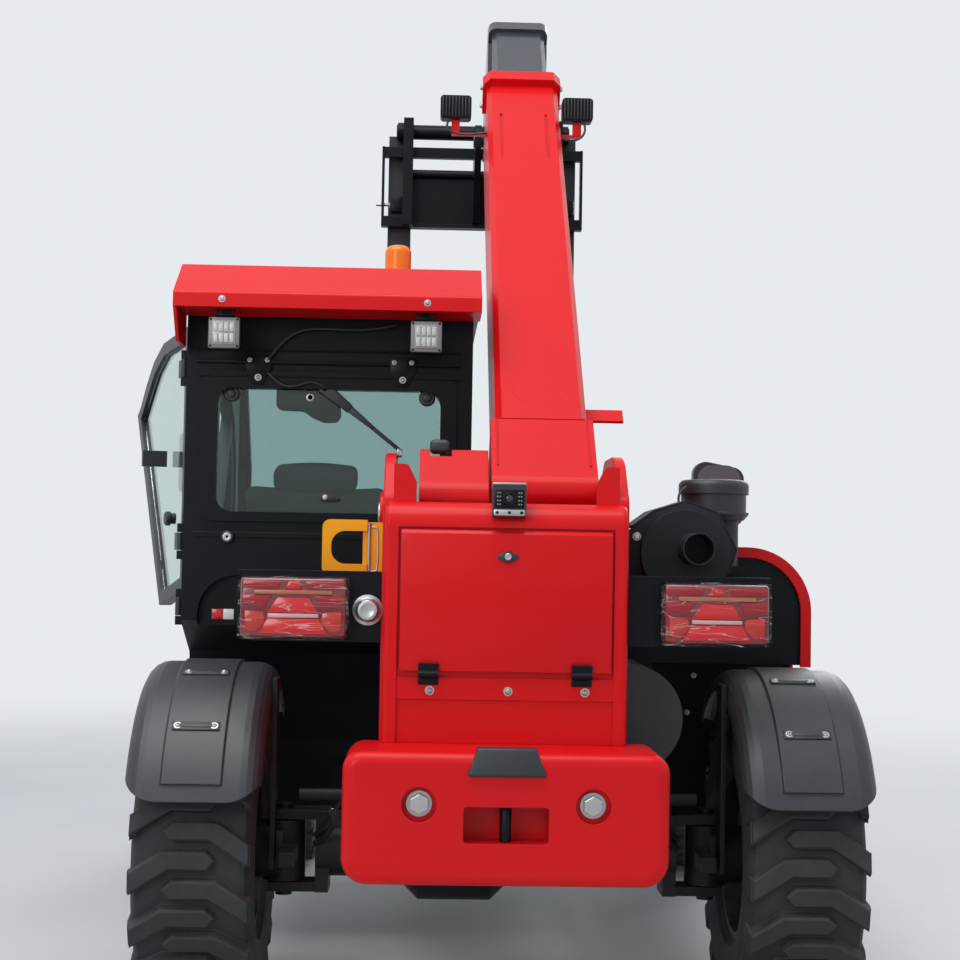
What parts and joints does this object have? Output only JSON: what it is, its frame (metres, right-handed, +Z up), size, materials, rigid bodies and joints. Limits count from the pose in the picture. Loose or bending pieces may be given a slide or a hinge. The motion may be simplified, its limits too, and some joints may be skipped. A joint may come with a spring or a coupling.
{
  "type": "telehandler",
  "caption": "Compact telescopic handler: all-wheel-steer chassis, side cab, raised telescopic boom with fork carriage, engine under a side hood.",
  "frame": {"origin": "on the ground, at the middle of the machine's length and width", "axes": "+Y forward, towards the fork tips; +X to the right seen from behind; +Z up"},
  "size_m": [2.1142, 4.3026, 3.191],
  "materials": {
    "tyre": "matte",
    "rim": "satin",
    "cast_black": "satin",
    "black_plastic": "textured",
    "black_frame": "satin",
    "red_paint": "gloss",
    "cab_glass": "tinted",
    "seat_cover": "woven",
    "engine": "cast",
    "black_heatproof": "matte",
    "lamp_red": "gloss",
    "lamp_clear": "clear",
    "yellow_paint": "gloss",
    "amber": "clear",
    "fork_steel": "worn",
    "chrome_rod": "polished"
  },
  "bodies": {
    "chassis": {"chassis_frame": "black_frame", "boom_tower": "red_paint", "lamp_brackets": "black_frame", "counterweight": "red_paint", "rear_fittings": "black_plastic", "rear_housing": "red_paint", "side_drum": "black_plastic", "rear_axle": "cast_black", "front_axle": "cast_black", "cab_frame": "black_frame", "cab_glass": "cab_glass", "cab_roof": "red_paint", "seat": "seat_cover", "console": "black_plastic", "engine_block": "engine", "silencer": "black_heatproof", "pre_cleaner": "black_plastic", "tail_lamps": "lamp_red", "cab_lamps": "lamp_clear", "mirror_right": "black_plastic", "mirror_left": "black_plastic", "yellow_loop": "yellow_paint", "tank_and_step": "black_frame", "beacon": "amber", "rear_camera": "black_plastic"},
    "steer_rear_left": {"knuckle_rear_left": "cast_black", "fender_rear_left": "black_plastic"},
    "wheel_rear_left": {"rim_rear_left": "rim", "tyre_rear_left": "tyre"},
    "steer_rear_right": {"knuckle_rear_right": "cast_black", "fender_rear_right": "black_plastic"},
    "wheel_rear_right": {"rim_rear_right": "rim", "tyre_rear_right": "tyre"},
    "steer_front_left": {"knuckle_front_left": "cast_black", "fender_front_left": "black_plastic"},
    "wheel_front_left": {"rim_front_left": "rim", "tyre_front_left": "tyre"},
    "steer_front_right": {"knuckle_front_right": "cast_black", "fender_front_right": "black_plastic"},
    "wheel_front_right": {"rim_front_right": "rim", "tyre_front_right": "tyre"},
    "outer_boom": {"outer_boom": "red_paint", "boom_lamps": "lamp_clear", "lamp_stays": "red_paint"},
    "inner_boom": {"inner_boom": "black_frame", "tilt_barrel": "black_frame"},
    "carriage": {"carriage": "black_frame", "forks": "fork_steel"},
    "tilt_rod": {"tilt_rod": "chrome_rod"},
    "lift_barrel": {"lift_barrel": "black_frame"},
    "lift_rod": {"lift_rod": "chrome_rod"},
    "upper_door": {"upper_door": "black_plastic", "upper_door_glass": "cab_glass"},
    "lower_door": {"lower_door": "black_plastic", "lower_door_glass": "cab_glass"},
    "hood": {"engine_hood": "red_paint"},
    "service_door": {"service_door": "red_paint", "service_hinges": "black_frame"}
  },
  "joints": [
    {"name": "steer_rear_left", "type": "hinge", "parent": "chassis", "child": "steer_rear_left", "pos_m": [-0.4509, -1.53528, 0.415], "axis": [0, 0, 1], "range_deg": [-20, 20]},
    {"name": "roll_rear_left", "type": "hinge", "parent": "steer_rear_left", "child": "wheel_rear_left", "pos_m": [-0.6529, -1.53528, 0.415], "axis": [1, 0, 0], "continuous": true},
    {"name": "steer_rear_right", "type": "hinge", "parent": "chassis", "child": "steer_rear_right", "pos_m": [0.6691, -1.53528, 0.415], "axis": [0, 0, 1], "range_deg": [-20, 20]},
    {"name": "roll_rear_right", "type": "hinge", "parent": "steer_rear_right", "child": "wheel_rear_right", "pos_m": [0.8711, -1.53528, 0.415], "axis": [1, 0, 0], "continuous": true},
    {"name": "steer_front_left", "type": "hinge", "parent": "chassis", "child": "steer_front_left", "pos_m": [-0.4509, 0.76472, 0.415], "axis": [0, 0, 1], "range_deg": [-20, 20]},
    {"name": "roll_front_left", "type": "hinge", "parent": "steer_front_left", "child": "wheel_front_left", "pos_m": [-0.6529, 0.76472, 0.415], "axis": [1, 0, 0], "continuous": true},
    {"name": "steer_front_right", "type": "hinge", "parent": "chassis", "child": "steer_front_right", "pos_m": [0.6691, 0.76472, 0.415], "axis": [0, 0, 1], "range_deg": [-20, 20]},
    {"name": "roll_front_right", "type": "hinge", "parent": "steer_front_right", "child": "wheel_front_right", "pos_m": [0.8711, 0.76472, 0.415], "axis": [1, 0, 0], "continuous": true},
    {"name": "boom_lift", "type": "hinge", "parent": "chassis", "child": "outer_boom", "pos_m": [0.1091, -1.58528, 1.3], "axis": [1, 0, 0], "range_deg": [-42.9, 20.1]},
    {"name": "telescope", "type": "slide", "parent": "outer_boom", "child": "inner_boom", "axis": [0, 0.7443, 0.6678], "range_m": [0, 1.4]},
    {"name": "carriage_tilt", "type": "hinge", "parent": "inner_boom", "child": "carriage", "pos_m": [0.2131, 0.77928, 2.85732], "axis": [-1, 0, 0], "range_deg": [-54, 76]},
    {"name": "lift_barrel_swing", "type": "hinge", "parent": "chassis", "child": "lift_barrel", "pos_m": [0.2131, -1.38528, 0.52], "axis": [1, 0, 0], "range_deg": [-26, 13]},
    {"name": "lift_rod_slide", "type": "slide", "parent": "lift_barrel", "child": "lift_rod", "axis": [0, 0.4764, 0.8792], "range_m": [-0.47, 0.23]},
    {"name": "tilt_rod_slide", "type": "slide", "parent": "inner_boom", "child": "tilt_rod", "axis": [0, 0.815, 0.5795], "range_m": [-0.13, 0.18]},
    {"name": "upper_door_hinge", "type": "hinge", "parent": "chassis", "child": "upper_door", "pos_m": [-0.7999, -1.15028, 1.45], "axis": [0, 0, 1], "range_deg": [-19, 141]},
    {"name": "lower_door_hinge", "type": "hinge", "parent": "chassis", "child": "lower_door", "pos_m": [-0.7999, -1.15028, 1.035], "axis": [0, 0, 1], "range_deg": [0, 85]},
    {"name": "hood_hinge", "type": "hinge", "parent": "chassis", "child": "hood", "pos_m": [0.4541, -0.63528, 1.246], "axis": [0, -1, 0], "range_deg": [0, 60]},
    {"name": "service_door_hinge", "type": "hinge", "parent": "chassis", "child": "service_door", "pos_m": [0.1091, -1.95828, 0.908], "axis": [1, 0, 0], "range_deg": [0, 95]}
  ],
  "couplings": [
    {"joint": "steer_rear_right", "follows": "steer_rear_left", "ratio": 1},
    {"joint": "steer_front_right", "follows": "steer_front_left", "ratio": 1},
    {"joint": "lift_barrel_swing", "follows": "boom_lift", "ratio": 0.585},
    {"joint": "lift_rod_slide", "follows": "boom_lift", "m_per_rad": 0.61},
    {"joint": "tilt_rod_slide", "follows": "carriage_tilt", "m_per_rad": 0.13}
  ]
}
